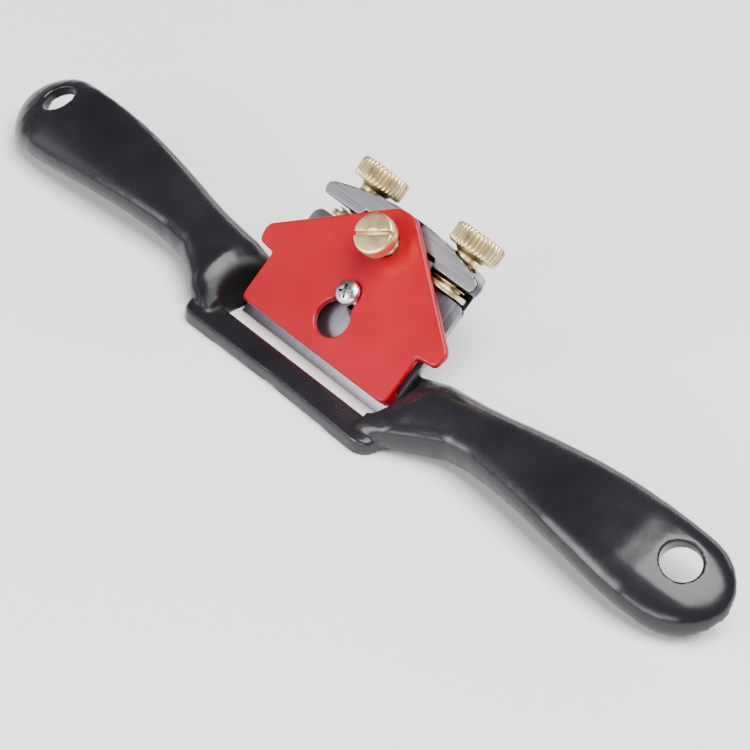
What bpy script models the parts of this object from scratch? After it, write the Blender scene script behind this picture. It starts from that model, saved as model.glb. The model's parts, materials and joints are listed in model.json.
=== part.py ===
"""Flat-sole adjustable spokeshave: one iron casting, a blade on a 45 degree bed, a lever cap
and two knurled screws that feed the blade.

The design frame has its origin under the middle of the mouth, in the plane of the sole: +X runs
along the handles, +Y towards the heel and +Z up. Lengths are in millimetres here and are turned
into metres as each mesh is made. The bed frame shares that origin: x along the handles, t up
the blade and n out of its face, both at 45 degrees. All pieces hang on one empty, which moves
the design frame so that the object stands on the middle of its box.
"""
import math

import bmesh
import bpy
from mathutils import Matrix, Vector

MM = 0.001
GAP = 0.3
FAR = 40.0
CIRCLE_STEPS = 24

# Bed and blade
BED_ANGLE = math.radians(45.0)
BLADE_HALF = 22.2
BLADE_THICK = 1.6
BLADE_EDGE_T = 0.25
BLADE_SHOULDER_T = 28.2
BLADE_CORNER = 2.4
BLADE_BEVEL_ANGLE = math.radians(27.0)
BLADE_STEM_HALF = 9.1
BLADE_HOOK_HALF = 10.1
BLADE_HOOK_T = 30.2
BLADE_TOP_T = 32.2
BED_N = -BLADE_THICK - GAP

# Mouth, toe and heel
MOUTH_HALF = 22.9
LIP_Y = -5.0
TOE_FRONT_Y = -12.5
TOE_WAIST = 0.8
TOE_HEIGHT = 3.6
TOE_HALF = 29.1
TOE_CORNER = 4.0
HEEL_BACK_Y = 14.5
HEEL_HEIGHT = 2.6
BED_HALF = 22.0
BED_BACK_N = -7.8
GROOVE_T = 27.7
RAIL_BACK_N = -10.8
TRIM = 1.0

SIDE_DRAFT = math.radians(32.0)
SIDE_DRAFT_N = -1.6

# Bridge behind the blade
BRIDGE_FACE_N = 1.5
BRIDGE_FRONT_T = 31.3
BRIDGE_END_T = 34.4
BRIDGE_CROWN_T = 37.9
BRIDGE_HALF = 22.4
BRIDGE_END_ROUND = 1.5
BRIDGE_SHOULDER = 0.8
BRIDGE_RELIEF_HALF = 10.8
BRIDGE_RELIEF_T = 33.0

# Adjusting screws and their collars, all turned about one axis each
SCREW_X = 14.4
SCREW_N = -2.7
THREAD_R = 2.0
THREAD_PITCH = 0.7
COLLAR_T = 28.55
COLLAR_DISC_R = 4.9
COLLAR_DISC_H = 1.3
COLLAR_RING_R = 3.9
COLLAR_H = 2.25
TENON_R = 1.5
RIVET_R = 2.3
RIVET_H = 0.45
NECK_T = 36.0
NECK_R = 3.0
NECK_TAPER_T = 37.5
NECK_TOP_R = 3.9
SEAT_T = 35.2
SEAT_R = 3.3
HEAD_T = 38.3
HEAD_H = 4.6
HEAD_R = 5.95
HEAD_CHAMFER = 0.55
KNURL_RIDGES = 24
KNURL_DEPTH = 0.45

# Lever cap
CAP_TOP_N = 3.8
CAP_UNDER_N = 2.1
CAP_FOOT_N = GAP
CAP_FRONT_T = 2.4
CAP_FOOT_END_T = 6.0
CAP_HALF = 22.2
CAP_NOTCH_T = 14.2
CAP_EAR_HALF = 27.7
CAP_EAR_T = 18.6
CAP_CROWN_T = 37.6
CAP_CROWN_HALF = 2.6
CAP_EDGE_ROUND = 0.6
CAP_RELIEF_T = 21.5
KEYHOLE_T = 10.6
KEYHOLE_R = 4.2
KEYHOLE_SLOT_HALF = 2.3
KEYHOLE_SLOT_T = 17.0

# Clamp screw, turned about n, and the fixing screw beside it
CLAMP_T = 29.8
CLAMP_SHANK_R = 2.6
CLAMP_TIP_R = 1.9
CLAMP_HEAD_R = 4.55
CLAMP_HEAD_N = 7.1
CLAMP_TOP_N = 10.4
CLAMP_SLOT_WIDTH = 1.1
CLAMP_SLOT_DEPTH = 1.4
CLAMP_SLOT_TURN = math.radians(31.0)
FIX_T = 16.8
FIX_SHANK_R = 1.5
FIX_HEAD_R = 2.8
FIX_HEAD_H = 1.9
FIX_END_N = -6.8
FIX_CROSS_HALF = 1.55
FIX_CROSS_WIDTH = 0.6
FIX_CROSS_DEPTH = 1.2
FIX_CROSS_TURN = math.radians(25.0)

# Handles: x, centre y, centre z, half width, half thickness, backward tilt in degrees
HANDLE_STATIONS = (
    (19.0, 0.8, 2.6, 10.4, 3.0, 6.0),
    (24.0, 0.7, 3.6, 11.2, 4.2, 7.0),
    (29.0, 1.5, 5.1, 10.5, 5.3, 8.0),
    (34.0, 3.0, 5.7, 9.0, 5.5, 10.0),
    (42.0, 5.0, 6.9, 7.2, 5.2, 12.0),
    (57.0, 5.3, 9.0, 8.5, 4.8, 16.0),
    (73.0, 5.0, 9.9, 10.3, 4.7, 20.0),
    (90.0, 4.9, 9.1, 11.3, 4.8, 23.0),
    (106.4, 8.1, 5.3, 10.2, 4.8, 25.0),
)
HANDLE_RINGS = 14
HANDLE_TIP_RINGS = 5
HANDLE_SIDES = 22
HANDLE_SQUARENESS = 2.25
HANDLE_TIP_LENGTH = 10.5
HOLE_RIM = (95.0, 5.8, 13.2)
HOLE_TILT = math.radians(27.0)
HOLE_LEAN = math.radians(14.0)
HOLE_R = 4.15
HOLE_WALL = 3.2
HOLE_REACH = 15.0
HOLLOW_R = 20.0
HOLLOW_SHIFT = 5.0
SCOOP_CENTRE = (22.6, 6.3, 5.0)
SCOOP_R = 7.5
SCOOP_SQUASH = 0.42

COLOURS = {
    "enamel": ((0.013, 0.012, 0.016), 0.22, 0.0),
    "red": ((0.66, 0.035, 0.045), 0.25, 0.0),
    "steel": ((0.31, 0.30, 0.34), 0.42, 1.0),
    "brass": ((0.80, 0.66, 0.40), 0.32, 1.0),
    "zinc": ((0.74, 0.76, 0.76), 0.24, 1.0),
}


def bed_yz(t, n):
    """Design-frame y and z of a point of the bed frame."""
    c, s = math.cos(BED_ANGLE), math.sin(BED_ANGLE)
    return t * c - n * s, t * s + n * c


def bed_matrix():
    """Local x, y, z become x, t, n."""
    return Matrix.Rotation(BED_ANGLE, 4, 'X')


def along_t(x, t, n):
    """A place in the bed frame whose local z runs up the blade."""
    place = Matrix.Translation((x * MM, t * MM, n * MM))
    return bed_matrix() @ place @ Matrix.Rotation(-math.pi / 2.0, 4, 'X')


def along_n(x, t, n):
    """A place in the bed frame whose local z runs out of the blade's face."""
    return bed_matrix() @ Matrix.Translation((x * MM, t * MM, n * MM))


def clear_scene():
    for obj in list(bpy.data.objects):
        bpy.data.objects.remove(obj, do_unlink=True)


def new_collection(name):
    collection = bpy.data.collections.new(name)
    bpy.context.scene.collection.children.link(collection)
    return collection


def make_material(name):
    colour, roughness, metallic = COLOURS[name]
    material = bpy.data.materials.new(name)
    material.use_nodes = True
    shader = material.node_tree.nodes["Principled BSDF"]
    shader.inputs["Base Color"].default_value = (*colour, 1.0)
    shader.inputs["Roughness"].default_value = roughness
    shader.inputs["Metallic"].default_value = metallic
    return material


def add_object(name, mesh, collection, matrix=None):
    obj = bpy.data.objects.new(name, mesh)
    collection.objects.link(obj)
    if matrix is not None:
        obj.matrix_world = matrix
    return obj


def finish_piece(obj, material, frame, smooth_angle=35.0):
    """Give a piece its material and its shading, and hang it on the frame."""
    obj.data.materials.clear()
    obj.data.materials.append(material)
    obj.data.shade_smooth()
    obj.data.set_sharp_from_angle(angle=math.radians(smooth_angle))
    obj.parent = frame


def as_cutter(obj):
    obj.hide_render = True
    obj.display_type = 'WIRE'
    return obj


def mesh_from_bmesh(name, bm):
    bmesh.ops.recalc_face_normals(bm, faces=bm.faces)
    bmesh.ops.scale(bm, vec=(MM, MM, MM), verts=bm.verts)
    mesh = bpy.data.meshes.new(name)
    bm.to_mesh(mesh)
    bm.free()
    return mesh


def box(name, low, high, collection, matrix=None):
    bm = bmesh.new()
    bmesh.ops.create_cube(bm, size=1.0)
    size = [b - a for a, b in zip(low, high)]
    bmesh.ops.scale(bm, vec=size, verts=bm.verts)
    bmesh.ops.translate(bm, vec=[(a + b) / 2.0 for a, b in zip(low, high)], verts=bm.verts)
    return add_object(name, mesh_from_bmesh(name, bm), collection, matrix)


def cone(name, r_low, r_high, z_low, z_high, collection, matrix):
    """A round body about the local z of a place."""
    bm = bmesh.new()
    bmesh.ops.create_cone(bm, cap_ends=True, segments=CIRCLE_STEPS, radius1=r_low,
                          radius2=r_high, depth=z_high - z_low)
    bmesh.ops.translate(bm, vec=(0.0, 0.0, (z_low + z_high) / 2.0), verts=bm.verts)
    return add_object(name, mesh_from_bmesh(name, bm), collection, matrix)


def turned(name, profile, collection, matrix):
    """A turned body from (radius, height) points that run down its outer side."""
    mesh = bpy.data.meshes.new(name)
    points = [(r * MM, 0.0, h * MM) for r, h in profile]
    edges = [(i, i + 1) for i in range(len(points) - 1)]
    if points[0] == points[-1]:
        points.pop()
        edges[-1] = (len(points) - 1, 0)
    mesh.from_pydata(points, edges, [])
    obj = add_object(name, mesh, collection, matrix)
    screw = obj.modifiers.new("turn", 'SCREW')
    screw.steps = CIRCLE_STEPS
    screw.render_steps = CIRCLE_STEPS
    screw.use_merge_vertices = True
    screw.merge_threshold = 0.00001
    return obj


def baked(obj):
    """The same object with its modifiers or its curve turned into a plain mesh."""
    name, matrix = obj.name, obj.matrix_world.copy()
    collection = obj.users_collection[0]
    bpy.context.view_layer.update()
    depsgraph = bpy.context.evaluated_depsgraph_get()
    mesh = bpy.data.meshes.new_from_object(obj.evaluated_get(depsgraph))
    bpy.data.objects.remove(obj, do_unlink=True)
    bm = bmesh.new()
    bm.from_mesh(mesh)
    bmesh.ops.remove_doubles(bm, verts=bm.verts, dist=0.000001)
    bmesh.ops.dissolve_limit(bm, angle_limit=0.001, verts=bm.verts, edges=bm.edges)
    bm.to_mesh(mesh)
    bm.free()
    mesh.name = name
    return add_object(name, mesh, collection, matrix)


def plate(name, outline, low, high, collection, matrix):
    """A flat outline in local x and y, given a thickness from low to high along local z."""
    curve = bpy.data.curves.new(name, 'CURVE')
    curve.dimensions = '2D'
    curve.fill_mode = 'BOTH'
    curve.extrude = (high - low) / 2.0 * MM
    spline = curve.splines.new('POLY')
    spline.points.add(len(outline) - 1)
    for point, (x, y) in zip(spline.points, outline):
        point.co = (x * MM, y * MM, 0.0, 1.0)
    spline.use_cyclic_u = True
    lift = Matrix.Translation((0.0, 0.0, (low + high) / 2.0 * MM))
    obj = baked(add_object(name, curve, collection, matrix @ lift))
    obj.data.transform(lift)
    obj.matrix_world = matrix
    return obj


def arc(x, y, radius, start, end, steps=6):
    """Points on a circle between two angles in degrees."""
    angles = [math.radians(start + (end - start) * i / steps) for i in range(steps + 1)]
    return [(x + radius * math.cos(a), y + radius * math.sin(a)) for a in angles]


def rounded(corners, steps=4):
    """An outline from (x, y, radius) corners, each one rounded by an arc."""
    outline = []
    count = len(corners)
    for i, (x, y, radius) in enumerate(corners):
        here = Vector((x, y))
        before = (Vector(corners[i - 1][:2]) - here).normalized()
        after = (Vector(corners[(i + 1) % count][:2]) - here).normalized()
        if radius <= 0.0:
            outline.append((x, y))
            continue
        half = before.angle(after) / 2.0
        centre = here + (before + after).normalized() * radius / math.sin(half)
        start = here + before * radius / math.tan(half) - centre
        end = here + after * radius / math.tan(half) - centre
        sweep = start.angle_signed(end)
        for k in range(steps + 1):
            turn = Matrix.Rotation(-sweep * k / steps, 2)
            outline.append(tuple(centre + turn @ start))
    return outline


def mirrored(right_half):
    """A closed outline from its right half, which runs from x = 0 to x = 0."""
    return right_half + [(-x, y) for x, y in reversed(right_half) if abs(x) > 1e-6]


def loft(name, rings, collection, matrix=None):
    """A closed body through rings of equal point counts, capped at both ends."""
    bm = bmesh.new()
    rows = [[bm.verts.new(p) for p in ring] for ring in rings]
    count = len(rows[0])
    for lower, upper in zip(rows, rows[1:]):
        for i in range(count):
            j = (i + 1) % count
            bm.faces.new((lower[i], lower[j], upper[j], upper[i]))
    bm.faces.new(rows[0])
    bm.faces.new(rows[-1])
    bmesh.ops.triangulate(bm, faces=bm.faces)
    return add_object(name, mesh_from_bmesh(name, bm), collection, matrix)


def boolean(obj, cutter, operation):
    modifier = obj.modifiers.new(cutter.name, 'BOOLEAN')
    modifier.operation = operation
    modifier.solver = 'EXACT'
    modifier.object = cutter


def cut(obj, *cutters):
    for cutter in cutters:
        boolean(obj, as_cutter(cutter), 'DIFFERENCE')


def join(obj, *others):
    for other in others:
        boolean(obj, as_cutter(other), 'UNION')


def station_at(x):
    """The handle's section values at x, on a smooth curve through its stations."""
    rows = HANDLE_STATIONS
    k = max(i for i in range(len(rows) - 1) if rows[i][0] <= x + 1e-9)
    a, b = rows[k], rows[k + 1]
    span = b[0] - a[0]
    u = (x - a[0]) / span
    before = rows[max(k - 1, 0)]
    after = rows[min(k + 2, len(rows) - 1)]
    values = []
    for i in range(1, len(a)):
        slope_a = (b[i] - before[i]) / (b[0] - before[0])
        slope_b = (after[i] - a[i]) / (after[0] - a[0])
        values.append((2 * u ** 3 - 3 * u ** 2 + 1) * a[i] + (u ** 3 - 2 * u ** 2 + u) * span * slope_a
                      + (3 * u ** 2 - 2 * u ** 3) * b[i] + (u ** 3 - u ** 2) * span * slope_b)
    return values


def handle_ring(x, side):
    """A rounded section of the handle across x; it closes towards the tip on a round end."""
    y, z, wide, thick, tilt = station_at(x)
    tip = HANDLE_STATIONS[-1][0]
    inward = max(0.0, (x - tip + HANDLE_TIP_LENGTH) / HANDLE_TIP_LENGTH)
    close = math.sqrt(max(0.0, 1.0 - inward ** 2))
    wide, thick = wide * close, thick * math.sqrt(close)
    tilt = math.radians(tilt)
    ring = []
    for i in range(HANDLE_SIDES):
        angle = 2.0 * math.pi * i / HANDLE_SIDES
        c, s = math.cos(angle), math.sin(angle)
        power = 2.0 / HANDLE_SQUARENESS
        across = math.copysign(abs(c) ** power, c) * wide
        up = math.copysign(abs(s) ** power, s) * thick
        ring.append((side * x, y + across * math.cos(tilt) - up * math.sin(tilt),
                     z + across * math.sin(tilt) + up * math.cos(tilt)))
    return ring


def make_handle(name, side, collection):
    root, tip = HANDLE_STATIONS[0][0], HANDLE_STATIONS[-1][0]
    shoulder = tip - HANDLE_TIP_LENGTH
    places = [root + (shoulder - root) * i / HANDLE_RINGS for i in range(HANDLE_RINGS)]
    for i in range(HANDLE_TIP_RINGS + 1):
        turn = math.radians(83.0) * i / HANDLE_TIP_RINGS
        places.append(shoulder + HANDLE_TIP_LENGTH * math.sin(turn))
    return loft(name, [handle_ring(x, side) for x in places], collection)


def hole_place(side):
    """A place at the hanging hole's rim, with local z out of the handle's upper face."""
    x, y, z = HOLE_RIM
    turn = Matrix.Rotation(side * HOLE_LEAN, 4, 'Y') @ Matrix.Rotation(HOLE_TILT, 4, 'X')
    return Matrix.Translation((side * x * MM, y * MM, z * MM)) @ turn


def bed_outline():
    """The casting's section through heel, bed and rear rail, as (y, z) points.

    The blade recess and the collar groove trim its face, the plane of the sole its foot.
    """
    face, rail_end = BED_N + 0.8, BRIDGE_FRONT_T + 1.5
    bed = [bed_yz(t, n) for t, n in (
        (2.0, face), (rail_end, face), (rail_end, RAIL_BACK_N), (26.0, RAIL_BACK_N),
        (21.5, BED_BACK_N), (11.5, BED_BACK_N))]
    heel = [(HEEL_BACK_Y, HEEL_HEIGHT), (HEEL_BACK_Y, -TRIM), (4.0, -TRIM), (4.0, 0.5)]
    return bed + heel


def bridge_outline():
    """The bridge seen square to the blade: flat towards the blade, arched behind.

    The collar groove trims its front.
    """
    front = BRIDGE_FRONT_T - GAP
    sagitta = BRIDGE_CROWN_T - BRIDGE_END_T
    half = BRIDGE_HALF - BRIDGE_SHOULDER
    radius = (half ** 2 + sagitta ** 2) / (2.0 * sagitta)
    lean = math.degrees(math.asin(half / radius))
    arch = arc(0.0, BRIDGE_CROWN_T - radius, radius, 90.0, 90.0 - lean, 9)
    ends = [(BRIDGE_HALF, BRIDGE_END_T - BRIDGE_SHOULDER), (BRIDGE_HALF, front + BRIDGE_END_ROUND)]
    foot = arc(BRIDGE_HALF - BRIDGE_END_ROUND, front + BRIDGE_END_ROUND, BRIDGE_END_ROUND,
               0.0, -90.0, 3)
    return mirrored(arch + ends + foot[1:] + [(0.0, front)])


def toe_outline():
    """The toe bar seen from above, with its waist in front."""
    front = [(-TOE_HALF, TOE_FRONT_Y, TOE_CORNER), (0.0, TOE_FRONT_Y + TOE_WAIST, 60.0),
             (TOE_HALF, TOE_FRONT_Y, TOE_CORNER)]
    return rounded(front + [(TOE_HALF, LIP_Y, 0.0), (-TOE_HALF, LIP_Y, 0.0)])


def make_toe(collection):
    toe = plate("toe_bar", toe_outline(), -TRIM, TOE_HEIGHT, collection, Matrix.Identity(4))
    bevel = toe.modifiers.new("front_round", 'BEVEL')
    bevel.width = 1.1 * MM
    bevel.segments = 2
    bevel.limit_method = 'ANGLE'
    bevel.angle_limit = math.radians(60.0)
    return toe


def screw_cutters(side, collection):
    """The tapped hole and, behind the bridge's face, the pocket that one screw's neck enters."""
    place = along_t(side * SCREW_X, 0.0, SCREW_N)
    label = "left" if side < 0 else "right"
    bore = THREAD_R + GAP
    return (cone("tapped_hole_" + label, bore, bore, BRIDGE_FRONT_T - 1.0, SEAT_T + 1.0,
                 collection, place),
            cone("spot_face_" + label, SEAT_R, SEAT_R, SEAT_T, FAR, collection, place))


def ball(name, radius, centre, collection, matrix, squash=1.0):
    """A ball, squashed along the handles to a share of its width."""
    bm = bmesh.new()
    bmesh.ops.create_uvsphere(bm, u_segments=CIRCLE_STEPS, v_segments=CIRCLE_STEPS // 2,
                              radius=radius)
    bmesh.ops.scale(bm, vec=(squash, 1.0, 1.0), verts=bm.verts)
    bmesh.ops.translate(bm, vec=centre, verts=bm.verts)
    return add_object(name, mesh_from_bmesh(name, bm), collection, matrix)


def hanging_hole(side, collection):
    """A round hole through the handle's end, and the hollow under that end."""
    label = "left" if side < 0 else "right"
    place = hole_place(side)
    centre = (side * HOLLOW_SHIFT, 0.0, -HOLE_WALL - HOLLOW_R)
    return (ball("end_hollow_" + label, HOLLOW_R, centre, collection, place),
            cone("hanging_hole_" + label, HOLE_R, HOLE_R, -HOLE_REACH, HOLE_REACH, collection,
                 place))


def side_draft(side, collection):
    """The casting narrows under the blade: a box leaning inwards from the blade's lower edge."""
    lean = Matrix.Rotation(side * SIDE_DRAFT, 4, 'Y')
    place = along_n(side * BLADE_HALF, 0.0, SIDE_DRAFT_N) @ lean
    outer = side * FAR
    low, high = sorted((0.0, outer))
    label = "left" if side < 0 else "right"
    return box("side_draft_" + label, (low, -FAR, -FAR), (high, 2.0 * FAR, 0.0), collection, place)


def make_body(collection, cutters):
    to_x = Matrix.Rotation(math.pi / 2.0, 4, 'Z') @ Matrix.Rotation(math.pi / 2.0, 4, 'X')
    bed = bed_matrix()
    body = plate("body_casting", bed_outline(), -BED_HALF, BED_HALF, collection, to_x)
    join(body, plate("bridge", bridge_outline(), RAIL_BACK_N - 0.6, BRIDGE_FACE_N, cutters, bed))
    cut(body, box("collar_groove", (-FAR, GROOVE_T, BED_BACK_N), (FAR, BRIDGE_FRONT_T, FAR),
                  cutters, bed))
    cut(body, *[side_draft(side, cutters) for side in (-1, 1)])
    join(body, *[make_handle("handle_" + label, side, cutters)
                 for label, side in (("left", -1), ("right", 1))])
    cut(body, box("blade_recess", (-MOUTH_HALF, -30.0, BED_N), (MOUTH_HALF, GROOVE_T + TRIM, FAR),
                  cutters, bed))
    x, t, n = SCOOP_CENTRE
    cut(body, *[ball("scoop_" + label, SCOOP_R, (side * x, t, n), cutters, bed, SCOOP_SQUASH)
                for label, side in (("left", -1), ("right", 1))])
    join(body, make_toe(cutters))
    cut(body, box("under_sole", (-140.0, -FAR, -FAR), (140.0, FAR, 0.0), cutters))
    groove_half = CLAMP_SHANK_R + 0.5
    cut(body, box("tab_relief", (-BRIDGE_RELIEF_HALF, BRIDGE_FRONT_T - TRIM, BED_N),
                  (BRIDGE_RELIEF_HALF, BRIDGE_RELIEF_T, FAR), cutters, bed),
        box("clamp_groove", (-groove_half, BRIDGE_FRONT_T, -0.1), (groove_half, FAR, FAR),
            cutters, bed),
        cone("fixing_hole", FIX_SHANK_R + GAP, FIX_SHANK_R + GAP, BED_BACK_N - TRIM, 0.0,
             cutters, along_n(0.0, FIX_T, 0.0)))
    for side in (-1, 1):
        cut(body, *screw_cutters(side, cutters), *hanging_hole(side, cutters))
    return body


def blade_outline():
    shoulder = BLADE_SHOULDER_T
    half = [(BLADE_HALF, BLADE_EDGE_T, 0.0),
            (BLADE_HALF, shoulder, BLADE_CORNER), (BLADE_STEM_HALF, shoulder, 0.0),
            (BLADE_STEM_HALF, BLADE_HOOK_T, 0.0), (BLADE_HOOK_HALF, BLADE_HOOK_T + 0.15, 0.0),
            (BLADE_HOOK_HALF, BLADE_TOP_T, 0.0)]
    return mirrored(rounded(half))


def make_blade(collection, cutters):
    origin = Vector((-SCREW_X, COLLAR_T, 0.0))
    blade = plate("blade", [(x - origin.x, t - origin.y) for x, t in blade_outline()],
                  -BLADE_THICK, 0.0, collection, along_n(*origin))
    slope = FAR * math.tan(BLADE_BEVEL_ANGLE)
    wedge = [(0.0, 0.0), (FAR, -slope), (FAR, -FAR), (-5.0, -FAR), (-5.0, 0.0)]
    across = Matrix.Rotation(math.pi / 2.0, 4, 'Z') @ Matrix.Rotation(math.pi / 2.0, 4, 'X')
    bevel = plate("blade_bevel", wedge, -30.0, 30.0, cutters,
                  along_n(0.0, BLADE_EDGE_T, -0.04) @ across)
    slot = plate("blade_slot", arc(0.0, FIX_T + 1.3, 2.1, 0.0, 180.0, 8)
                 + arc(0.0, FIX_T - 0.6, 2.1, 180.0, 360.0, 8), -5.0, 5.0, cutters, bed_matrix())
    cut(blade, bevel, slot)
    return blade


def cap_outline():
    """A shield: parallel sides as wide as the blade, two ears, slanted shoulders, round crown."""
    half = [(0.0, CAP_FRONT_T, 0.0), (CAP_HALF, CAP_FRONT_T, 1.4), (CAP_HALF, CAP_NOTCH_T, 0.5),
            (CAP_EAR_HALF - 0.8, CAP_NOTCH_T + 0.5, 1.4), (CAP_EAR_HALF, CAP_EAR_T, 2.2),
            (CAP_CROWN_HALF, CAP_CROWN_T, 2.6), (0.0, CAP_CROWN_T + 0.2, 0.0)]
    return mirrored(rounded(half))


def make_cap(collection, cutters):
    cap = plate("lever_cap", cap_outline(), CAP_FOOT_N, CAP_TOP_N, collection, bed_matrix())
    bevel = cap.modifiers.new("edge_round", 'BEVEL')
    bevel.width = CAP_EDGE_ROUND * MM
    bevel.segments = 2
    bevel.limit_method = 'ANGLE'
    bevel.angle_limit = math.radians(60.0)
    hollow = box("cap_hollow", (-FAR, CAP_FOOT_END_T, -FAR), (FAR, 2.0 * FAR, CAP_UNDER_N),
                 cutters, bed_matrix())
    keyhole = plate("keyhole", arc(0.0, KEYHOLE_T, KEYHOLE_R, 130.0, 410.0, 20)
                    + arc(0.0, KEYHOLE_SLOT_T, KEYHOLE_SLOT_HALF, 0.0, 180.0, 8),
                    -5.0, 10.0, cutters, bed_matrix())
    tapped = cone("clamp_hole", CLAMP_SHANK_R + GAP, CLAMP_SHANK_R + GAP, -5.0, 10.0, cutters,
                  along_n(0.0, CLAMP_T, 0.0))
    cut(cap, hollow, keyhole, tapped)
    for label, side in (("left", -1), ("right", 1)):
        relief = COLLAR_DISC_R + 0.4
        cut(cap, cone("collar_relief_" + label, relief, relief, CAP_RELIEF_T, FAR, cutters,
                      along_t(side * SCREW_X, 0.0, SCREW_N)))
    return cap


def make_clamp_screw(collection, cutters):
    top = CLAMP_TOP_N
    profile = [(0.0, top), (CLAMP_HEAD_R - 0.5, top), (CLAMP_HEAD_R, top - 0.5),
               (CLAMP_HEAD_R, CLAMP_HEAD_N + 0.3), (CLAMP_HEAD_R - 0.3, CLAMP_HEAD_N),
               (CLAMP_SHANK_R, CLAMP_HEAD_N), (CLAMP_SHANK_R, 1.2), (CLAMP_TIP_R, 0.9),
               (CLAMP_TIP_R, GAP), (0.0, GAP)]
    screw = turned("cap_clamp_screw", profile, collection, along_n(0.0, CLAMP_T, 0.0))
    slot = box("clamp_slot", (-FAR / 2.0, -CLAMP_SLOT_WIDTH / 2.0, top - CLAMP_SLOT_DEPTH),
               (FAR / 2.0, CLAMP_SLOT_WIDTH / 2.0, top + 5.0), cutters,
               along_n(0.0, CLAMP_T, 0.0) @ Matrix.Rotation(CLAMP_SLOT_TURN, 4, 'Z'))
    cut(screw, slot)
    return screw


def make_fixing_screw(collection, cutters):
    under = CAP_TOP_N + GAP
    top = under + FIX_HEAD_H
    dome = [(FIX_HEAD_R * math.sin(a), under + 0.7 + (FIX_HEAD_H - 0.7) * math.cos(a))
            for a in (math.radians(22.5 * i) for i in range(5))]
    profile = dome + [(FIX_HEAD_R, under + 0.3), (FIX_HEAD_R - 0.3, under), (FIX_SHANK_R, under),
                      (FIX_SHANK_R, FIX_END_N + 0.4), (FIX_SHANK_R - 0.4, FIX_END_N),
                      (0.0, FIX_END_N)]
    place = along_n(0.0, FIX_T, 0.0)
    screw = turned("cap_fixing_screw", profile, collection, place)
    for i, turn in enumerate((FIX_CROSS_TURN, FIX_CROSS_TURN + math.pi / 2.0)):
        arm = box("cross_arm_%d" % (i + 1),
                  (-FIX_CROSS_HALF, -FIX_CROSS_WIDTH / 2.0, top - FIX_CROSS_DEPTH),
                  (FIX_CROSS_HALF, FIX_CROSS_WIDTH / 2.0, top + 1.0), cutters,
                  place @ Matrix.Rotation(turn, 4, 'Z'))
        cut(screw, arm)
    return screw


def screw_ring(radius, height, depth=0.0):
    """A ring about the screw's axis; with a depth it has the knurl's ridges and valleys."""
    count = 2 * KNURL_RIDGES
    ring = []
    for i in range(count):
        r = radius - (depth if i % 2 else 0.0)
        angle = 2.0 * math.pi * i / count
        ring.append((r * math.cos(angle), r * math.sin(angle), height))
    return ring


def make_adjuster(side, collection):
    """Rivet, tenon, thread, neck and knurled head in one piece; heights count from the collar."""
    label = "left" if side < 0 else "right"
    base = COLLAR_T
    shoulder = COLLAR_H + GAP
    head = HEAD_T - base
    top = head + HEAD_H
    steps = [(RIVET_R, 0.0, 0.0), (RIVET_R, RIVET_H, 0.0), (TENON_R, RIVET_H, 0.0),
             (TENON_R, shoulder, 0.0), (THREAD_R, shoulder, 0.0), (THREAD_R, NECK_T - base, 0.0),
             (NECK_R, NECK_T - base, 0.0), (NECK_R, NECK_TAPER_T - base, 0.0),
             (NECK_TOP_R, head, 0.0), (HEAD_R - HEAD_CHAMFER, head, 0.0),
             (HEAD_R, head + HEAD_CHAMFER, KNURL_DEPTH),
             (HEAD_R, top - HEAD_CHAMFER, KNURL_DEPTH), (HEAD_R - HEAD_CHAMFER, top, 0.0)]
    rings = [screw_ring(*step) for step in steps]
    return loft("adjuster_screw_" + label, rings, collection,
                along_t(side * SCREW_X, base, SCREW_N))


def make_collar(side, collection):
    """A grooved ring that swivels on the screw's tenon and takes the blade with it."""
    label = "left" if side < 0 else "right"
    bore, sink = TENON_R + GAP, RIVET_R + GAP
    disc, ring = COLLAR_DISC_R, COLLAR_RING_R
    profile = [(bore, COLLAR_H), (ring - 0.15, COLLAR_H), (ring, COLLAR_H - 0.15),
               (ring, COLLAR_DISC_H + 0.45), (ring - 0.7, COLLAR_DISC_H + 0.35),
               (ring - 0.7, COLLAR_DISC_H), (disc - 0.35, COLLAR_DISC_H),
               (disc, COLLAR_DISC_H - 0.4), (disc, 0.4), (disc - 0.35, 0.0), (sink, 0.0),
               (sink, RIVET_H + GAP), (bore, RIVET_H + GAP), (bore, COLLAR_H)]
    return turned("adjuster_collar_" + label, profile, collection,
                  along_t(side * SCREW_X, COLLAR_T, SCREW_N))


def rear_y():
    """The rearmost point of the object: the top rim of a knurled head."""
    c, s = math.cos(BED_ANGLE), math.sin(BED_ANGLE)
    reach = HEAD_R * s
    rim_t = HEAD_T + HEAD_H - HEAD_CHAMFER
    chamfered = (HEAD_T + HEAD_H) * c - SCREW_N * s + (HEAD_R - HEAD_CHAMFER) * s
    return max(rim_t * c - SCREW_N * s + reach, chamfered)


def main():
    clear_scene()
    parts = new_collection("spokeshave")
    cutters = new_collection("cutters")
    materials = {name: make_material(name) for name in COLOURS}
    frame = bpy.data.objects.new("spokeshave_frame", None)
    parts.objects.link(frame)
    pieces = [(make_body(parts, cutters), "enamel"), (make_blade(parts, cutters), "steel"),
              (make_cap(parts, cutters), "red"), (make_clamp_screw(parts, cutters), "brass"),
              (make_fixing_screw(parts, cutters), "zinc")]
    for side in (-1, 1):
        pieces.append((make_adjuster(side, parts), "brass"))
        pieces.append((make_collar(side, parts), "brass"))
    for obj, slot in pieces:
        finish_piece(obj, materials[slot], frame)
    for cutter in cutters.objects:
        cutter.parent = frame
    frame.location.y = -(rear_y() + TOE_FRONT_Y) / 2.0 * MM


main()
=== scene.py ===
import json
import math

import bmesh
import bpy
import numpy as np
from mathutils import Matrix, Vector


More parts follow.
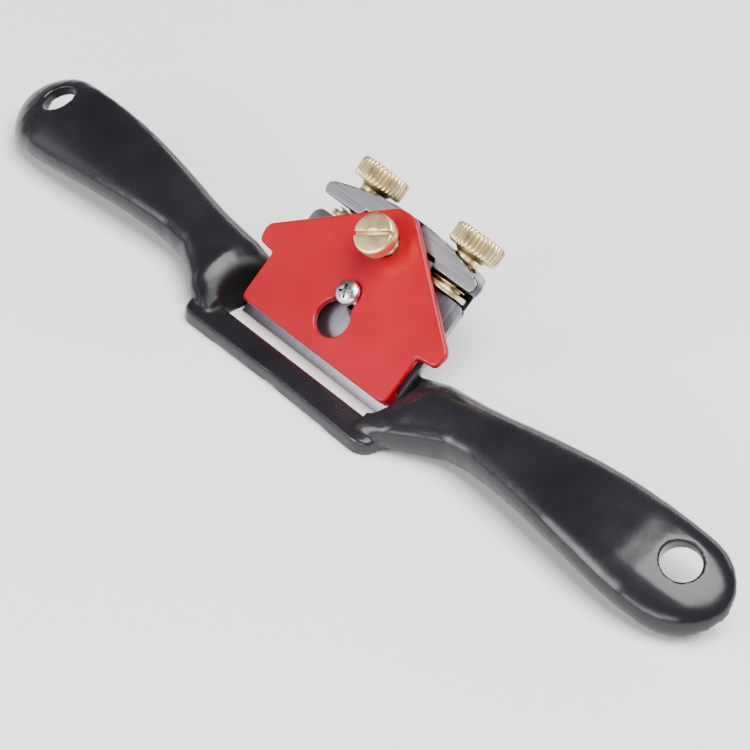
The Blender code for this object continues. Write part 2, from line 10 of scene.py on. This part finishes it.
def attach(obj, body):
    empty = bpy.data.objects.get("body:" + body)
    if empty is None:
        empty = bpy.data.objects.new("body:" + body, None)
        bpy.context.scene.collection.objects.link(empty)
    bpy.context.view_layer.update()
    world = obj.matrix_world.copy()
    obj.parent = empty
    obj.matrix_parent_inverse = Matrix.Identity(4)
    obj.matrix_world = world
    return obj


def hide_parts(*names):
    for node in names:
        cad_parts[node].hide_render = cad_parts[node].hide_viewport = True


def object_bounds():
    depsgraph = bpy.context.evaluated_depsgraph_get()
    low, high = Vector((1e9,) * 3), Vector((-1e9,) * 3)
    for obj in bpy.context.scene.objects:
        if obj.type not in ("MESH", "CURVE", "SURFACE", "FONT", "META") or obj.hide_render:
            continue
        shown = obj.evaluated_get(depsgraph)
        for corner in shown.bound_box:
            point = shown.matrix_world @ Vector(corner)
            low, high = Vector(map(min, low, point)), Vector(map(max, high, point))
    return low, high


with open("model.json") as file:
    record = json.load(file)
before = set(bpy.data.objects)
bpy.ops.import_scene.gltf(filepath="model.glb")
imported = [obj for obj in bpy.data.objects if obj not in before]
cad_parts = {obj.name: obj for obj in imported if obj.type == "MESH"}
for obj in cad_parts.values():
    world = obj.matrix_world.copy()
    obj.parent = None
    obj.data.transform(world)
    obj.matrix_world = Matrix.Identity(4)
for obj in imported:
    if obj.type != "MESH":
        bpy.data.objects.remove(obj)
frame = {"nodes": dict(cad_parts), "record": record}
cad_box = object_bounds()

MM = 0.001
ROOT_HALF = math.sqrt(0.5)
JOINTS = {joint["name"]: joint for joint in frame["record"]["behaviour"]["joints"]}
UP_BLADE = Vector((0.0, ROOT_HALF, ROOT_HALF))
OUT_OF_BLADE = Vector((0.0, -ROOT_HALF, ROOT_HALF))

# Millimetres up the blade (t) and out of its face (n), from the foot of the bed
CLAMP_T = 29.8
BRIDGE_T = 31.0
BRIDGE_FACE_N = 1.5
SCOOP_CENTRE = Vector((22.6, 6.3, 5.0))
SCOOP_R = 7.5
SCOOP_SQUASH = 0.42
KNURL_RIDGES = 36
THREAD_PITCH = 0.7

# Floor, in metres
FLOOR_HALF = 8.0
FLOOR_GAP = 0.02 * MM

# Camera, in metres
CAMERA_PLACE = Vector((0.2505, -0.2780, 0.2965))
CAMERA_FORWARD = Vector((-0.510, 0.5847, -0.6308))
CAMERA_UP = Vector((-0.519, 0.3757, 0.7678))
CAMERA_LENS = 107.2


# ---------------------------------------------------------------- places

def place_on(joint_name):
    """A joint's origin with local z on its axis and local x along the handles."""
    joint = JOINTS[joint_name]
    axis = Vector(joint["axis"]).normalized()
    side = Vector((1.0, 0.0, 0.0))
    matrix = Matrix((side, axis.cross(side), axis)).transposed().to_4x4()
    matrix.translation = Vector(joint["pos_m"])
    return matrix


def bed_place():
    """The foot of the bed: local x along the handles, y up the blade, z out of its face."""
    matrix = place_on("clamp_screw_turn")
    matrix.translation -= UP_BLADE * CLAMP_T * MM
    return matrix


BED = bed_place()


# ---------------------------------------------------------------- node material helpers

class Nodes:
    """A material's node tree with short calls for the nodes used here."""

    def __init__(self, name):
        self.material = bpy.data.materials.new(name)
        self.material.use_nodes = True
        self.tree = self.material.node_tree
        self.shader = self.tree.nodes["Principled BSDF"]
        self.coords = self.tree.nodes.new("ShaderNodeTexCoord").outputs["Object"]

    def add(self, kind, **settings):
        node = self.tree.nodes.new(kind)
        for key, value in settings.items():
            setattr(node, key, value)
        return node

    def link(self, source, target):
        self.tree.links.new(source, target)

    def value(self, node, name, value):
        if isinstance(value, bpy.types.NodeSocket):
            self.link(value, node.inputs[name])
        else:
            node.inputs[name].default_value = value

    def math(self, operation, a, b=0.0):
        node = self.add("ShaderNodeMath", operation=operation)
        self.value(node, 0, a)
        self.value(node, 1, b)
        return node.outputs[0]

    def dot(self, direction):
        node = self.add("ShaderNodeVectorMath", operation='DOT_PRODUCT')
        self.link(self.coords, node.inputs[0])
        node.inputs[1].default_value = direction
        return node.outputs["Value"]

    def mirrored_distance(self, place, squash):
        """Distance to a place or its mirror image across x = 0, where x counts 1 / squash."""
        absolute = self.add("ShaderNodeVectorMath", operation='ABSOLUTE')
        self.link(self.coords, absolute.inputs[0])
        split = self.add("ShaderNodeSeparateXYZ")
        self.link(self.coords, split.inputs[0])
        split_absolute = self.add("ShaderNodeSeparateXYZ")
        self.link(absolute.outputs["Vector"], split_absolute.inputs[0])
        folded = self.add("ShaderNodeCombineXYZ")
        self.link(split_absolute.outputs["X"], folded.inputs["X"])
        self.link(split.outputs["Y"], folded.inputs["Y"])
        self.link(split.outputs["Z"], folded.inputs["Z"])
        offset = self.add("ShaderNodeVectorMath", operation='SUBTRACT')
        self.link(folded.outputs["Vector"], offset.inputs[0])
        offset.inputs[1].default_value = place
        scaled = self.add("ShaderNodeVectorMath", operation='MULTIPLY')
        self.link(offset.outputs["Vector"], scaled.inputs[0])
        scaled.inputs[1].default_value = (1.0 / squash, 1.0, 1.0)
        length = self.add("ShaderNodeVectorMath", operation='LENGTH')
        self.link(scaled.outputs["Vector"], length.inputs[0])
        return length.outputs["Value"]

    def stretched(self, scale):
        node = self.add("ShaderNodeMapping")
        node.inputs["Scale"].default_value = scale
        self.link(self.coords, node.inputs["Vector"])
        return node.outputs["Vector"]

    def noise(self, scale, detail=3.0, roughness=0.55, vector=None):
        node = self.add("ShaderNodeTexNoise")
        node.inputs["Scale"].default_value = scale
        node.inputs["Detail"].default_value = detail
        node.inputs["Roughness"].default_value = roughness
        self.link(vector or self.coords, node.inputs["Vector"])
        return node.outputs["Fac"]

    def remap(self, source, low, high, to_low, to_high):
        node = self.add("ShaderNodeMapRange")
        for name, value in (("Value", source), ("From Min", low), ("From Max", high),
                            ("To Min", to_low), ("To Max", to_high)):
            self.value(node, name, value)
        return node.outputs["Result"]

    def mix(self, factor, a, b):
        node = self.add("ShaderNodeMix", data_type='RGBA')
        self.value(node, 0, factor)
        self.value(node, 6, a)
        self.value(node, 7, b)
        return node.outputs[2]

    def bump(self, height, distance, strength=1.0, normal=None):
        node = self.add("ShaderNodeBump")
        node.inputs["Strength"].default_value = strength
        node.inputs["Distance"].default_value = distance
        self.link(height, node.inputs["Height"])
        if normal is not None:
            self.link(normal, node.inputs["Normal"])
        return node.outputs["Normal"]

    def painted_shade_amount(self):
        """High in corners and grooves, where shade falls; used to paint shade into colours."""
        node = self.add("ShaderNodeAmbientOcclusion", samples=4)
        node.inputs["Distance"].default_value = 1.2 * MM
        return self.math('SUBTRACT', 1.0, node.outputs["AO"])

    def put(self, **inputs):
        for name, value in inputs.items():
            self.value(self.shader, name.replace("_", " "), value)
        return self.material


def grey(value):
    return (value, value, value, 1.0)


def enamel_material():
    """Black enamel over a rough casting; the pockets get painted shade, near black, and are duller;
    sole and bridge face are bare.
    """
    n = Nodes("black_enamel")
    up = n.dot(UP_BLADE)
    out = n.dot(OUT_OF_BLADE)
    foot = BED.translation
    face_height = foot.dot(OUT_OF_BLADE) + (BRIDGE_FACE_N - 0.08) * MM
    bridge = n.math('MULTIPLY', n.math('GREATER_THAN', up, foot.dot(UP_BLADE) + BRIDGE_T * MM),
                    n.math('GREATER_THAN', out, face_height))
    sole = n.math('LESS_THAN', n.dot((0.0, 0.0, 1.0)), 0.06 * MM)
    bare = n.math('MAXIMUM', bridge, sole)
    # Painted shade: a mask over the pockets beside the blade that paints them near black and makes
    # them rougher.
    pocket_painted_shade_and_matte = n.remap(n.mirrored_distance(BED @ (SCOOP_CENTRE * MM), SCOOP_SQUASH),
                     (SCOOP_R + 2.0) * MM, (SCOOP_R + 5.0) * MM, 1.0, 0.0)
    patches = n.noise(55.0, 2.0)
    fine = n.noise(1400.0, 2.0)
    lumps = n.noise(170.0, 2.0, 0.45)
    orange_peel = n.noise(900.0, 1.0)
    lines = n.noise(1.0, 3.0, 0.7, n.stretched((60.0, 2600.0, 2600.0)))
    colour = n.mix(n.remap(patches, 0.3, 0.7, 0.0, 1.0), (0.0085, 0.0080, 0.0105, 1.0),
                   (0.0135, 0.0125, 0.0165, 1.0))
    steel = n.mix(n.remap(lines, 0.35, 0.65, 0.0, 1.0), (0.335, 0.325, 0.365, 1.0),
                  (0.43, 0.42, 0.46, 1.0))
    # Painted shade: near-black colour in the pockets.
    colour = n.mix(pocket_painted_shade_and_matte, colour, (0.0012, 0.0012, 0.0014, 1.0))
    rough = n.math('ADD', n.remap(patches, 0.3, 0.7, 0.20, 0.30),
                   n.remap(fine, 0.3, 0.7, -0.02, 0.02))
    rough = n.math('ADD', rough, n.math('MULTIPLY', pocket_painted_shade_and_matte, 0.35))
    rough_steel = n.remap(lines, 0.3, 0.7, 0.36, 0.52)
    blend_rough = n.math('ADD', n.math('MULTIPLY', rough, n.math('SUBTRACT', 1.0, bare)),
                         n.math('MULTIPLY', rough_steel, bare))
    paint_bump = n.bump(orange_peel, 0.012 * MM, 0.5, n.bump(lumps, 0.10 * MM, 0.6))
    steel_bump = n.bump(lines, 0.006 * MM, 0.6)
    pick = n.add("ShaderNodeMix", data_type='VECTOR')
    n.link(bare, pick.inputs[0])
    n.link(paint_bump, pick.inputs[4])
    n.link(steel_bump, pick.inputs[5])
    return n.put(Base_Color=n.mix(bare, colour, steel), Metallic=bare, Roughness=blend_rough,
                 Normal=pick.outputs[1], IOR=1.5)


def red_material():
    """Glossy red paint, with painted shade darkening it in corners."""
    n = Nodes("red_paint")
    patches = n.noise(60.0, 3.0)
    peel = n.noise(700.0, 1.0)
    colour = n.mix(n.remap(patches, 0.3, 0.7, 0.0, 1.0), (0.34, 0.0006, 0.0085, 1.0),
                   (0.40, 0.0012, 0.0115, 1.0))
    # Painted shade: the red darkens in corners and creases, following ambient occlusion.
    colour = n.mix(n.remap(n.painted_shade_amount(), 0.25, 0.8, 0.0, 0.6), colour, (0.15, 0.001, 0.002, 1.0))
    return n.put(Base_Color=colour, Roughness=n.remap(patches, 0.3, 0.7, 0.27, 0.36),
                 Normal=n.bump(peel, 0.010 * MM, 0.5, n.bump(n.noise(110.0, 1.0), 0.04 * MM, 0.4)),
                 IOR=1.40)


def ground_steel_material():
    """Tool steel with fine grinding lines along the blade and a few stains."""
    n = Nodes("ground_steel")
    lines = n.noise(1.0, 4.0, 0.7, n.stretched((2400.0, 70.0, 70.0)))
    stains = n.noise(120.0, 4.0)
    colour = n.mix(n.remap(lines, 0.35, 0.65, 0.0, 1.0), (0.25, 0.243, 0.285, 1.0),
                   (0.33, 0.32, 0.365, 1.0))
    colour = n.mix(n.remap(stains, 0.58, 0.75, 0.0, 0.35), colour, (0.20, 0.185, 0.20, 1.0))
    return n.put(Base_Color=colour, Metallic=1.0, Roughness=n.remap(lines, 0.3, 0.7, 0.34, 0.48),
                 Normal=n.bump(lines, 0.005 * MM, 0.6))


def brass_material():
    """Pale turned brass: fine tool rings about local z, with painted shade making it dark brown down
    in the grooves.
    """
    n = Nodes("turned_brass")
    flat = n.add("ShaderNodeVectorMath", operation='MULTIPLY')
    n.link(n.coords, flat.inputs[0])
    flat.inputs[1].default_value = (1.0, 1.0, 0.0)
    length = n.add("ShaderNodeVectorMath", operation='LENGTH')
    n.link(flat.outputs["Vector"], length.inputs[0])
    separate = n.add("ShaderNodeSeparateXYZ")
    n.link(n.coords, separate.inputs[0])
    rings_at = n.math('ADD', length.outputs["Value"], n.math('MULTIPLY', separate.outputs["Z"], 1.7))
    ring_vector = n.add("ShaderNodeCombineXYZ")
    n.link(n.math('MULTIPLY', rings_at, 9000.0), ring_vector.inputs[0])
    rings = n.noise(1.0, 2.0, 0.5, ring_vector.outputs[0])
    tarnish = n.noise(420.0, 4.0)
    colour = n.mix(n.remap(tarnish, 0.35, 0.7, 0.0, 1.0), (1.0, 0.80, 0.43, 1.0),
                   (0.93, 0.71, 0.36, 1.0))
    # Painted shade: dark brown in the grooves and corners, following ambient occlusion.
    colour = n.mix(n.remap(n.painted_shade_amount(), 0.2, 0.7, 0.0, 0.85), colour, (0.16, 0.105, 0.045, 1.0))
    return n.put(Base_Color=colour, Metallic=1.0, Roughness=n.remap(tarnish, 0.3, 0.7, 0.26, 0.40),
                 Normal=n.bump(rings, 0.006 * MM, 0.7))


def zinc_material():
    """Bright zinc plate, slightly cloudy, with painted shade in the cross."""
    n = Nodes("bright_zinc")
    clouds = n.noise(900.0, 4.0)
    colour = n.mix(n.remap(clouds, 0.35, 0.7, 0.0, 1.0), (0.80, 0.82, 0.82, 1.0),
                   (0.62, 0.65, 0.66, 1.0))
    # Painted shade: near black in the cross and corners, following ambient occlusion.
    colour = n.mix(n.remap(n.painted_shade_amount(), 0.25, 0.75, 0.0, 0.9), colour, (0.05, 0.05, 0.055, 1.0))
    return n.put(Base_Color=colour, Metallic=1.0, Roughness=n.remap(clouds, 0.3, 0.7, 0.18, 0.34),
                 Normal=n.bump(clouds, 0.02 * MM, 0.4))


# ---------------------------------------------------------------- mesh helpers

def new_object(name, mesh, matrix=None):
    obj = bpy.data.objects.new(name, mesh)
    bpy.context.scene.collection.objects.link(obj)
    if matrix is not None:
        obj.matrix_world = matrix
    return obj


def applied(obj):
    """The same object with its modifiers made into a plain mesh."""
    bpy.context.view_layer.update()
    depsgraph = bpy.context.evaluated_depsgraph_get()
    mesh = bpy.data.meshes.new_from_object(obj.evaluated_get(depsgraph))
    obj.modifiers.clear()
    obj.data = mesh
    return obj


def show_as(obj, material, body, node, smooth_angle=None):
    """Finishes a piece: material, shading, the body it rides on and the CAD node it stands for."""
    obj.data.materials.clear()
    obj.data.materials.append(material)
    obj.data.shade_smooth()
    if smooth_angle is not None:
        obj.data.set_sharp_from_angle(angle=math.radians(smooth_angle))
    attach(obj, body)
    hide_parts(node)
    return obj


def remeshed(name, node, voxel, place=None):
    """A fine even mesh of a CAD node, made in the axes of a place so that its flats stay flat."""
    mesh = frame["nodes"][node].data.copy()
    mesh.materials.clear()
    place = place or Matrix.Identity(4)
    mesh.transform(place.inverted())
    obj = new_object(name, mesh)
    weld = obj.modifiers.new("weld", 'WELD')
    weld.merge_threshold = 0.000001
    remesh = obj.modifiers.new("remesh", 'REMESH')
    remesh.mode = 'VOXEL'
    remesh.voxel_size = voxel
    return applied(obj)


def mesh_arrays(mesh):
    points = np.empty(len(mesh.vertices) * 3)
    mesh.vertices.foreach_get("co", points)
    edges = np.empty(len(mesh.edges) * 2, dtype=np.int64)
    mesh.edges.foreach_get("vertices", edges)
    return points.reshape(-1, 3), edges.reshape(-1, 2)


def smoothed(points, edges, rounds, grow, shrink, weight):
    """Moves each point towards its neighbours and part of the way back, round after round."""
    count = len(points)
    degree = np.maximum(np.bincount(edges.ravel(), minlength=count), 1)
    for _ in range(rounds):
        for factor in filter(None, (grow, shrink)):
            total = np.stack([np.bincount(edges[:, 0], points[edges[:, 1], k], count)
                              + np.bincount(edges[:, 1], points[edges[:, 0], k], count)
                              for k in range(3)], axis=1)
            points = points + factor * weight[:, None] * (total / degree[:, None] - points)
    return points


def ramp(values, start, end):
    u = np.clip((values - start) / (end - start), 0.0, 1.0)
    return u * u * (3.0 - 2.0 * u)


def write_points(mesh, points):
    mesh.vertices.foreach_set("co", points.ravel())
    mesh.update()


def revolved(rows, steps):
    """A surface through rows of (radius, height); a radius may be an array over the steps."""
    angles = np.arange(steps) * 2.0 * math.pi / steps
    bm = bmesh.new()
    rings = []
    for radius, height in rows:
        radii = np.broadcast_to(radius, (steps,))
        rings.append([bm.verts.new((r * math.cos(a) * MM, r * math.sin(a) * MM, height * MM))
                      for r, a in zip(radii, angles)])
    for lower, upper in zip(rings, rings[1:]):
        for i in range(steps):
            j = (i + 1) % steps
            bm.faces.new((lower[i], lower[j], upper[j], upper[i]))
    return bm, rings


def closed_with_caps(name, rows, steps, matrix):
    """A turned body, closed by a flat face at each end."""
    bm, rings = revolved(rows, steps)
    bm.faces.new(rings[0])
    bm.faces.new(rings[-1])
    return mesh_object(name, bm, matrix)


def closed_ring(name, rows, steps, matrix):
    """A turned ring: the last row joins the first."""
    bm, rings = revolved(rows, steps)
    for i in range(steps):
        j = (i + 1) % steps
        bm.faces.new((rings[-1][i], rings[-1][j], rings[0][j], rings[0][i]))
    return mesh_object(name, bm, matrix)


def mesh_object(name, bm, matrix):
    bmesh.ops.recalc_face_normals(bm, faces=bm.faces)
    mesh = bpy.data.meshes.new(name)
    bm.to_mesh(mesh)
    bm.free()
    return new_object(name, mesh, matrix)


def arc(radius, height, size, start, end, steps=5):
    """Profile points round a corner: centre (radius, height), angles in degrees."""
    angles = [math.radians(start + (end - start) * i / steps) for i in range(steps + 1)]
    return [(radius + size * math.cos(a), height + size * math.sin(a)) for a in angles]


def thread_rows(radius, low, high, steps, depth, pitch=THREAD_PITCH):
    """Rows of a right-hand thread between two heights, fading out at both ends."""
    angles = np.arange(steps) / steps
    rows = []
    count = int(round((high - low) / pitch * 8))
    for i in range(count + 1):
        height = low + (high - low) * i / count
        wave = np.abs(((height / pitch - angles) % 1.0) * 2.0 - 1.0)
        fade = min(1.0, (height - low) / 0.25, (high - height) / 0.25)
        rows.append((radius - depth * fade * ramp(wave, 0.15, 0.95), height))
    return rows


def knurled(radius, depth, steps):
    """Radii of straight ridges with rounded tops and narrow valleys."""
    phase = (np.arange(steps) * KNURL_RIDGES / steps) % 1.0
    valley = 1.0 - ramp(np.abs(phase - 0.5), 0.04, 0.40)
    return radius - depth * valley


def slot_cutter(size, centre, matrix):
    bm = bmesh.new()
    bmesh.ops.create_cube(bm, size=1.0)
    bmesh.ops.scale(bm, vec=[s * MM for s in size], verts=bm.verts)
    bmesh.ops.translate(bm, vec=[c * MM for c in centre], verts=bm.verts)
    return mesh_object("cutter", bm, matrix)


def cut_out(obj, *cutters):
    for cutter in cutters:
        modifier = obj.modifiers.new("cut", 'BOOLEAN')
        modifier.operation = 'DIFFERENCE'
        modifier.solver = 'EXACT'
        modifier.object = cutter
    applied(obj)
    for cutter in cutters:
        bpy.data.objects.remove(cutter, do_unlink=True)


def softened(obj, width, angle):
    bevel = obj.modifiers.new("soft_edges", 'BEVEL')
    bevel.width = width * MM
    bevel.segments = 2
    bevel.limit_method = 'ANGLE'
    bevel.angle_limit = math.radians(angle)
    return applied(obj)


# ---------------------------------------------------------------- pieces

BODY_VOXEL = 0.42 * MM
HANDLE_STARTS = (25.0 * MM, 31.0 * MM)
HOLE_X = 95.0 * MM
HOLE_Y = -6.0 * MM
HOLE_MARGIN = (5.2 * MM, 8.5 * MM)
SCOOP_RIM_WIDTH = 1.8 * MM
SOLE_SNAP = 0.22 * MM
CAP_VOXEL = 0.24 * MM
CAP_TOP_SNAP = 0.10 * MM
SCOOP_PLACE = np.array(BED @ (SCOOP_CENTRE * MM))


def make_body(material):
    """The casting with the soft edges that enamel has, smooth handles and flat milled faces."""
    obj = remeshed("body_enamel", "body_casting", BODY_VOXEL)
    points, edges = mesh_arrays(obj.data)
    across = np.abs(points[:, 0])
    from_hole = np.hypot(across - HOLE_X, points[:, 1] - HOLE_Y)
    handle = ramp(across, *HANDLE_STARTS) * ramp(from_hole, *HOLE_MARGIN)
    world, bed = np.array(BED), np.array(BED.inverted())
    on_bridge = (points @ bed[:3, :3].T + bed[:3, 3])[:, 1] > (BRIDGE_T - 1.0) * MM
    points = smoothed(points, edges, 5, 0.5, 0.0, np.where(on_bridge, 0.35, 1.0))
    points = smoothed(points, edges, 240, 0.6, -0.615, handle)
    off_scoop = np.column_stack((across, points[:, 1:])) - SCOOP_PLACE
    off_scoop[:, 0] /= SCOOP_SQUASH
    off_rim = np.linalg.norm(off_scoop, axis=1) - SCOOP_R * MM
    rim = np.exp(-(off_rim / SCOOP_RIM_WIDTH) ** 2) * ramp(across, 23.2 * MM, 24.2 * MM)
    points = smoothed(points, edges, 25, 0.5, 0.0, rim)
    local = points @ bed[:3, :3].T + bed[:3, 3]
    face = (local[:, 1] > BRIDGE_T * MM) & (local[:, 2] > (BRIDGE_FACE_N - 0.3) * MM)
    local[face, 2] = BRIDGE_FACE_N * MM
    points[face] = local[face] @ world[:3, :3].T + world[:3, 3]
    points[points[:, 2] < SOLE_SNAP, 2] = 0.0
    write_points(obj.data, points)
    return show_as(obj, material, "body", "body_casting")


def make_cap(material):
    """The lever cap with painted, rounded edges."""
    obj = remeshed("lever_cap_shell", "lever_cap", CAP_VOXEL, BED)
    points, edges = mesh_arrays(obj.data)
    top = points[:, 2].max()
    points = smoothed(points, edges, 7, 0.5, 0.0, np.ones(len(points)))
    points[points[:, 2] > top - CAP_TOP_SNAP, 2] = top
    write_points(obj.data, points)
    obj.data.transform(BED)
    return show_as(obj, material, "lever_cap", "lever_cap")


def make_blade(material):
    """The blade with its corners just broken."""
    mesh = frame["nodes"]["blade"].data.copy()
    obj = new_object("blade_iron", mesh)
    weld = obj.modifiers.new("weld", 'WELD')
    weld.merge_threshold = 0.000001
    applied(obj)
    softened(obj, 0.12, 50.0)
    return show_as(obj, material, "blade", "blade", 35.0)


def make_adjuster(side, material):
    """Rivet, tenon, threaded shank, neck and a coarse straight-knurled head."""
    steps = KNURL_RIDGES * 8
    ridges = knurled(5.95, 0.40, steps)
    shallow = knurled(5.72, 0.20, steps)
    rows = [(2.2, 0.0), (2.3, 0.1), (2.3, 0.45), (1.5, 0.45), (1.5, 2.55)]
    rows += thread_rows(2.0, 2.56, 7.3, steps, 0.28)
    rows += [(2.0, 7.45), (2.85, 7.45), (3.0, 7.6), (3.0, 8.95), (3.45, 9.3), (3.9, 9.75)]
    rows += [(5.3, 9.75), (5.42, 9.80), (shallow, 10.05), (ridges, 10.35), (ridges, 11.2),
             (ridges, 12.8), (ridges, 13.75), (shallow, 14.07), (5.42, 14.31), (5.3, 14.35),
             (5.0, 14.35), (0.35, 14.35)]
    obj = closed_with_caps("knurled_screw_" + side, rows, steps,
                           place_on(side + "_screw_turn"))
    return show_as(obj, material, side + "_screw", "adjuster_screw_" + side, 45.0)


def make_collar(side, material):
    """A thick disc and a thin ring with a dark groove between them."""
    rows = [(1.8, 2.2), (1.85, 2.25)] + arc(3.75, 2.10, 0.15, 90.0, -90.0)
    rows += [(3.2, 1.90), (3.1, 1.80), (3.1, 1.40), (3.2, 1.30)]
    rows += arc(4.6, 1.0, 0.3, 90.0, 0.0) + arc(4.6, 0.3, 0.3, 0.0, -90.0)
    rows += [(2.7, 0.0), (2.6, 0.1), (2.6, 0.75), (1.8, 0.75)]
    obj = closed_ring("swivel_collar_" + side, rows, 120, place_on(side + "_screw_turn"))
    return show_as(obj, material, side + "_collar", "adjuster_collar_" + side, 45.0)


def make_clamp_screw(material):
    """A slotted cheese-head screw with a threaded shank."""
    steps = 160
    place = place_on("clamp_screw_turn")
    rows = [(0.4, 0.32), (1.7, 0.32), (1.9, 0.5), (1.9, 0.9)]
    rows += thread_rows(2.6, 1.1, 6.9, steps, 0.34, 0.8)
    rows += [(2.5, 7.0), (2.5, 7.1), (4.2, 7.1)] + arc(4.25, 7.4, 0.3, -90.0, 0.0, 4)
    rows += arc(4.0, 9.85, 0.55, 0.0, 90.0, 6) + [(1.5, 10.4), (0.3, 10.4)]
    obj = closed_with_caps("clamp_screw_head", rows, steps, place)
    turn = place @ Matrix.Rotation(math.radians(31.0), 4, 'Z')
    cut_out(obj, slot_cutter((14.0, 1.1, 3.4), (0.0, 0.0, 10.7), turn))
    softened(obj, 0.07, 55.0)
    return show_as(obj, material, "clamp_screw", "cap_clamp_screw", 40.0)


def make_fixing_screw(material):
    """A small domed cross-head screw."""
    steps = 96
    place = place_on("fixing_screw_turn")
    under, head = 4.1, 2.8
    rows = [(0.3, -6.78), (1.1, -6.78), (1.45, -6.4)]
    rows += thread_rows(1.5, -6.3, 3.9, steps, 0.24, 0.6)
    rows += [(1.5, 4.0), (1.5, under), (2.5, under), (head, under + 0.3), (head, under + 0.7)]
    rows += [(head * math.cos(math.radians(a)), under + 0.7 + 1.2 * math.sin(math.radians(a)))
             for a in range(9, 90, 9)]
    obj = closed_with_caps("fixing_screw_head", rows, steps, place)
    arms = [slot_cutter((3.3, 0.62, 2.4), (0.0, 0.0, 6.1), place @ Matrix.Rotation(angle, 4, 'Z'))
            for angle in (math.radians(25.0), math.radians(115.0))]
    core = slot_cutter((1.25, 1.25, 2.4), (0.0, 0.0, 5.8),
                       place @ Matrix.Rotation(math.radians(70.0), 4, 'Z'))
    cut_out(obj, *arms, core)
    softened(obj, 0.05, 50.0)
    return show_as(obj, material, "fixing_screw", "cap_fixing_screw", 35.0)


def make_pieces():
    brass = brass_material()
    make_body(enamel_material())
    make_cap(red_material())
    make_blade(ground_steel_material())
    make_clamp_screw(brass)
    make_fixing_screw(zinc_material())
    for side in ("left", "right"):
        make_adjuster(side, brass)
        make_collar(side, brass)


# ---------------------------------------------------------------- floor, lights, camera

def make_floor():
    bm = bmesh.new()
    corners = [(-FLOOR_HALF, -FLOOR_HALF), (FLOOR_HALF, -FLOOR_HALF), (FLOOR_HALF, FLOOR_HALF),
               (-FLOOR_HALF, FLOOR_HALF)]
    bm.faces.new([bm.verts.new((x, y, 0.0)) for x, y in corners])
    floor = mesh_object("floor", bm, Matrix.Translation((0.0, 0.0, cad_box[0][2] - FLOOR_GAP)))
    n = Nodes("pale_floor")
    floor.data.materials.append(n.put(Base_Color=grey(0.98), Roughness=0.9))


def make_light(name, place, target, size, power):
    data = bpy.data.lights.new(name, 'AREA')
    data.shape = 'RECTANGLE'
    data.size, data.size_y = size
    data.energy = power
    light = bpy.data.objects.new(name, data)
    bpy.context.scene.collection.objects.link(light)
    light.location = place
    light.rotation_euler = (Vector(target) - Vector(place)).to_track_quat('-Z', 'Y').to_euler()


def make_world():
    world = bpy.data.worlds.new("studio")
    world.use_nodes = True
    background = world.node_tree.nodes["Background"]
    background.inputs["Color"].default_value = (0.93, 0.93, 1.0, 1.0)
    background.inputs["Strength"].default_value = 0.12
    bpy.context.scene.world = world


def make_camera():
    data = bpy.data.cameras.new("camera")
    data.lens = CAMERA_LENS
    data.sensor_width = 36.0
    back = -CAMERA_FORWARD.normalized()
    right = CAMERA_UP.cross(back).normalized()
    up = back.cross(right)
    camera = bpy.data.objects.new("camera", data)
    turn = Matrix((right, up, back)).transposed().to_4x4()
    camera.matrix_world = Matrix.Translation(CAMERA_PLACE) @ turn
    bpy.context.scene.collection.objects.link(camera)
    bpy.context.scene.camera = camera


make_pieces()
make_floor()
make_world()
make_light("top_softbox", (0.32, 0.02, 0.95), (0.0, 0.0, 0.0), (0.9, 0.9), 25.0)
make_light("front_box", (-0.20, -0.72, 0.30), (0.05, 0.0, 0.0), (0.34, 0.30), 4.2)
make_light("right_strip", (0.34, -0.58, 0.17), (0.07, -0.01, 0.01), (0.50, 0.12), 1.6)
make_light("left_glow", (-0.70, -0.46, 0.34), (0.0, 0.0, 0.0), (0.36, 0.36), 0.7)
make_light("back_strip", (-0.10, 0.75, 0.22), (0.0, 0.0, 0.0), (0.9, 0.12), 1.6)
make_camera()
